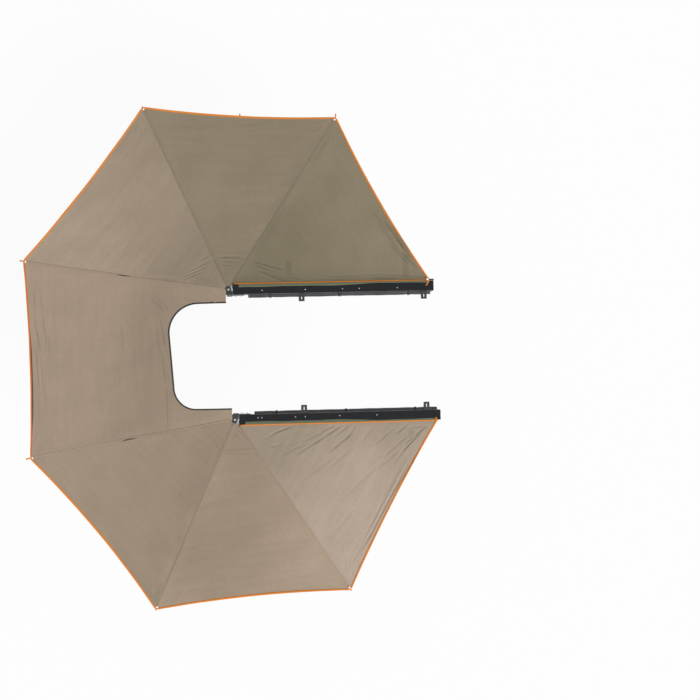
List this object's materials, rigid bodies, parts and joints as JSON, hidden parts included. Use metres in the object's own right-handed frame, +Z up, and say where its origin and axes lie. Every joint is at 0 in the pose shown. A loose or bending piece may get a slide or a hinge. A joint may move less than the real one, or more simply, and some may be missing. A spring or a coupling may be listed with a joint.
{
  "type": "vehicle awning",
  "caption": "Wraparound vehicle awning: fans of swinging arms on rails along both sides of a roof rack, joined by a back panel with a ladder cut-out.",
  "frame": {"origin": "midway between the two hub pins, level with the underside of the crossbars", "axes": "+X towards the vehicle's front, +Y towards its left side, +Z up"},
  "size_m": [4.2167, 5.1772, 0.2352],
  "materials": {
    "black_anodised": "anodised",
    "black_steel": "powder coat",
    "plain_aluminium": "satin",
    "zinc_steel": "zinc plated",
    "black_nylon": "moulded",
    "black_rubber": "matte",
    "cover_vinyl": "coated cloth",
    "canopy_canvas": "coated canvas"
  },
  "bodies": {
    "root": {"left_rail": "black_anodised", "left_rail_end_cap": "black_nylon", "left_hub_bracket": "black_steel", "left_travel_cover": "cover_vinyl", "left_rear_rack_bracket": "black_steel", "left_front_rack_bracket": "black_steel", "left_hub_pin": "zinc_steel", "left_front_panel": "canopy_canvas", "right_rail": "black_anodised", "right_rail_end_cap": "black_nylon", "right_hub_bracket": "black_steel", "right_travel_cover": "cover_vinyl", "right_rear_rack_bracket": "black_steel", "right_front_rack_bracket": "black_steel", "right_hub_pin": "zinc_steel", "right_front_panel": "canopy_canvas"},
    "left_front_arm": {"left_front_arm": "plain_aluminium", "left_front_arm_tip": "black_nylon", "left_side_panel": "canopy_canvas"},
    "left_front_leg": {"left_front_leg_tube": "plain_aluminium"},
    "left_front_leg_inner": {"left_front_leg_inner_tube": "plain_aluminium", "left_front_leg_foot": "black_rubber"},
    "left_front_leg_collar": {"left_front_leg_collar": "black_nylon"},
    "left_middle_arm": {"left_middle_arm": "plain_aluminium", "left_middle_arm_tip": "black_nylon", "left_rear_panel": "canopy_canvas"},
    "left_middle_leg": {"left_middle_leg_tube": "plain_aluminium"},
    "left_middle_leg_inner": {"left_middle_leg_inner_tube": "plain_aluminium", "left_middle_leg_foot": "black_rubber"},
    "left_middle_leg_collar": {"left_middle_leg_collar": "black_nylon"},
    "left_rear_arm": {"left_rear_arm": "plain_aluminium", "left_rear_arm_tip": "black_nylon", "back_panel": "canopy_canvas"},
    "left_rear_leg": {"left_rear_leg_tube": "plain_aluminium"},
    "left_rear_leg_inner": {"left_rear_leg_inner_tube": "plain_aluminium", "left_rear_leg_foot": "black_rubber"},
    "left_rear_leg_collar": {"left_rear_leg_collar": "black_nylon"},
    "right_front_arm": {"right_front_arm": "plain_aluminium", "right_front_arm_tip": "black_nylon", "right_side_panel": "canopy_canvas"},
    "right_front_leg": {"right_front_leg_tube": "plain_aluminium"},
    "right_front_leg_inner": {"right_front_leg_inner_tube": "plain_aluminium", "right_front_leg_foot": "black_rubber"},
    "right_front_leg_collar": {"right_front_leg_collar": "black_nylon"},
    "right_middle_arm": {"right_middle_arm": "plain_aluminium", "right_middle_arm_tip": "black_nylon", "right_rear_panel": "canopy_canvas"},
    "right_middle_leg": {"right_middle_leg_tube": "plain_aluminium"},
    "right_middle_leg_inner": {"right_middle_leg_inner_tube": "plain_aluminium", "right_middle_leg_foot": "black_rubber"},
    "right_middle_leg_collar": {"right_middle_leg_collar": "black_nylon"},
    "right_rear_arm": {"right_rear_arm": "plain_aluminium", "right_rear_arm_tip": "black_nylon"},
    "right_rear_leg": {"right_rear_leg_tube": "plain_aluminium"},
    "right_rear_leg_inner": {"right_rear_leg_inner_tube": "plain_aluminium", "right_rear_leg_foot": "black_rubber"},
    "right_rear_leg_collar": {"right_rear_leg_collar": "black_nylon"}
  },
  "joints": [
    {"name": "left_front_arm_hinge", "type": "hinge", "parent": "root", "child": "left_front_arm", "pos_m": [0, 0.6605, -0.02], "axis": [0, 0.0698, 0.9976], "range_deg": [-57.5, 0], "deforming": ["left_front_panel"]},
    {"name": "left_front_leg_hinge", "type": "hinge", "parent": "left_front_arm", "child": "left_front_leg", "pos_m": [1.08427, 2.35698, -0.15788], "axis": [0.8434, -0.536, 0.0375], "range_deg": [0, 95]},
    {"name": "left_front_leg_slide", "type": "slide", "parent": "left_front_leg", "child": "left_front_leg_inner", "axis": [-0.5373, -0.8413, 0.0588], "range_m": [0, 0.82]},
    {"name": "left_front_leg_collar_twist", "type": "hinge", "parent": "left_front_leg", "child": "left_front_leg_collar", "pos_m": [0.54805, 1.51732, -0.09916], "axis": [-0.5373, -0.8413, 0.0588], "range_deg": [0, 90]},
    {"name": "left_middle_arm_hinge", "type": "hinge", "parent": "left_front_arm", "child": "left_middle_arm", "pos_m": [0, 0.6605, -0.02], "axis": [0, 0.0698, 0.9976], "range_deg": [-56.5, 0], "deforming": ["left_side_panel"]},
    {"name": "left_middle_leg_hinge", "type": "hinge", "parent": "left_middle_arm", "child": "left_middle_leg", "pos_m": [-0.8208, 2.49527, -0.20965], "axis": [0.9135, 0.4057, -0.0284], "range_deg": [0, 95]},
    {"name": "left_middle_leg_slide", "type": "slide", "parent": "left_middle_leg", "child": "left_middle_leg_inner", "axis": [0.4067, -0.9113, 0.0637], "range_m": [0, 0.82]},
    {"name": "left_middle_leg_collar_twist", "type": "hinge", "parent": "left_middle_leg", "child": "left_middle_leg_collar", "pos_m": [-0.41487, 1.58578, -0.14605], "axis": [0.4067, -0.9113, 0.0637], "range_deg": [0, 90]},
    {"name": "left_rear_arm_hinge", "type": "hinge", "parent": "left_middle_arm", "child": "left_rear_arm", "pos_m": [0, 0.6605, -0.02], "axis": [0, 0.0698, 0.9976], "range_deg": [-56.5, 0], "deforming": ["left_rear_panel", "back_panel"]},
    {"name": "left_rear_leg_hinge", "type": "hinge", "parent": "left_rear_arm", "child": "left_rear_leg", "pos_m": [-1.99032, 0.98556, -0.14618], "axis": [0.165, 0.9839, -0.0688], "range_deg": [0, 95]},
    {"name": "left_rear_leg_slide", "type": "slide", "parent": "left_rear_leg", "child": "left_rear_leg_inner", "axis": [0.9863, -0.1646, 0.0115], "range_m": [0, 0.82]},
    {"name": "left_rear_leg_collar_twist", "type": "hinge", "parent": "left_rear_leg", "child": "left_rear_leg_collar", "pos_m": [-1.00601, 0.82124, -0.13469], "axis": [0.9863, -0.1646, 0.0115], "range_deg": [0, 90]},
    {"name": "right_front_arm_hinge", "type": "hinge", "parent": "root", "child": "right_front_arm", "pos_m": [0.038, -0.6605, -0.02], "axis": [0, 0.0698, -0.9976], "range_deg": [-57.5, 0], "deforming": ["right_front_panel"]},
    {"name": "right_front_leg_hinge", "type": "hinge", "parent": "right_front_arm", "child": "right_front_leg", "pos_m": [1.12227, -2.35698, -0.15788], "axis": [-0.8434, -0.536, -0.0375], "range_deg": [0, 95]},
    {"name": "right_front_leg_slide", "type": "slide", "parent": "right_front_leg", "child": "right_front_leg_inner", "axis": [-0.5373, 0.8413, 0.0588], "range_m": [0, 0.82]},
    {"name": "right_front_leg_collar_twist", "type": "hinge", "parent": "right_front_leg", "child": "right_front_leg_collar", "pos_m": [0.58605, -1.51732, -0.09916], "axis": [-0.5373, 0.8413, 0.0588], "range_deg": [0, 90]},
    {"name": "right_middle_arm_hinge", "type": "hinge", "parent": "right_front_arm", "child": "right_middle_arm", "pos_m": [0.038, -0.6605, -0.02], "axis": [0, 0.0698, -0.9976], "range_deg": [-56.5, 0], "deforming": ["right_side_panel"]},
    {"name": "right_middle_leg_hinge", "type": "hinge", "parent": "right_middle_arm", "child": "right_middle_leg", "pos_m": [-0.7828, -2.49527, -0.20965], "axis": [-0.9135, 0.4057, 0.0284], "range_deg": [0, 95]},
    {"name": "right_middle_leg_slide", "type": "slide", "parent": "right_middle_leg", "child": "right_middle_leg_inner", "axis": [0.4067, 0.9113, 0.0637], "range_m": [0, 0.82]},
    {"name": "right_middle_leg_collar_twist", "type": "hinge", "parent": "right_middle_leg", "child": "right_middle_leg_collar", "pos_m": [-0.37687, -1.58578, -0.14605], "axis": [0.4067, 0.9113, 0.0637], "range_deg": [0, 90]},
    {"name": "right_rear_arm_hinge", "type": "hinge", "parent": "right_middle_arm", "child": "right_rear_arm", "pos_m": [0.038, -0.6605, -0.02], "axis": [0, 0.0698, -0.9976], "range_deg": [-56.5, 0], "deforming": ["right_rear_panel"]},
    {"name": "right_rear_leg_hinge", "type": "hinge", "parent": "right_rear_arm", "child": "right_rear_leg", "pos_m": [-1.95232, -0.98556, -0.14618], "axis": [-0.165, 0.9839, 0.0688], "range_deg": [0, 95]},
    {"name": "right_rear_leg_slide", "type": "slide", "parent": "right_rear_leg", "child": "right_rear_leg_inner", "axis": [0.9863, 0.1646, 0.0115], "range_m": [0, 0.82]},
    {"name": "right_rear_leg_collar_twist", "type": "hinge", "parent": "right_rear_leg", "child": "right_rear_leg_collar", "pos_m": [-0.96801, -0.82124, -0.13469], "axis": [0.9863, 0.1646, 0.0115], "range_deg": [0, 90]}
  ],
  "couplings": [
    {"joint": "left_middle_arm_hinge", "follows": "left_front_arm_hinge", "ratio": 0.98261},
    {"joint": "left_rear_arm_hinge", "follows": "left_front_arm_hinge", "ratio": 0.98261},
    {"joint": "right_front_arm_hinge", "follows": "left_front_arm_hinge", "ratio": 1},
    {"joint": "right_middle_arm_hinge", "follows": "left_front_arm_hinge", "ratio": 0.98261},
    {"joint": "right_rear_arm_hinge", "follows": "left_front_arm_hinge", "ratio": 0.98261}
  ]
}
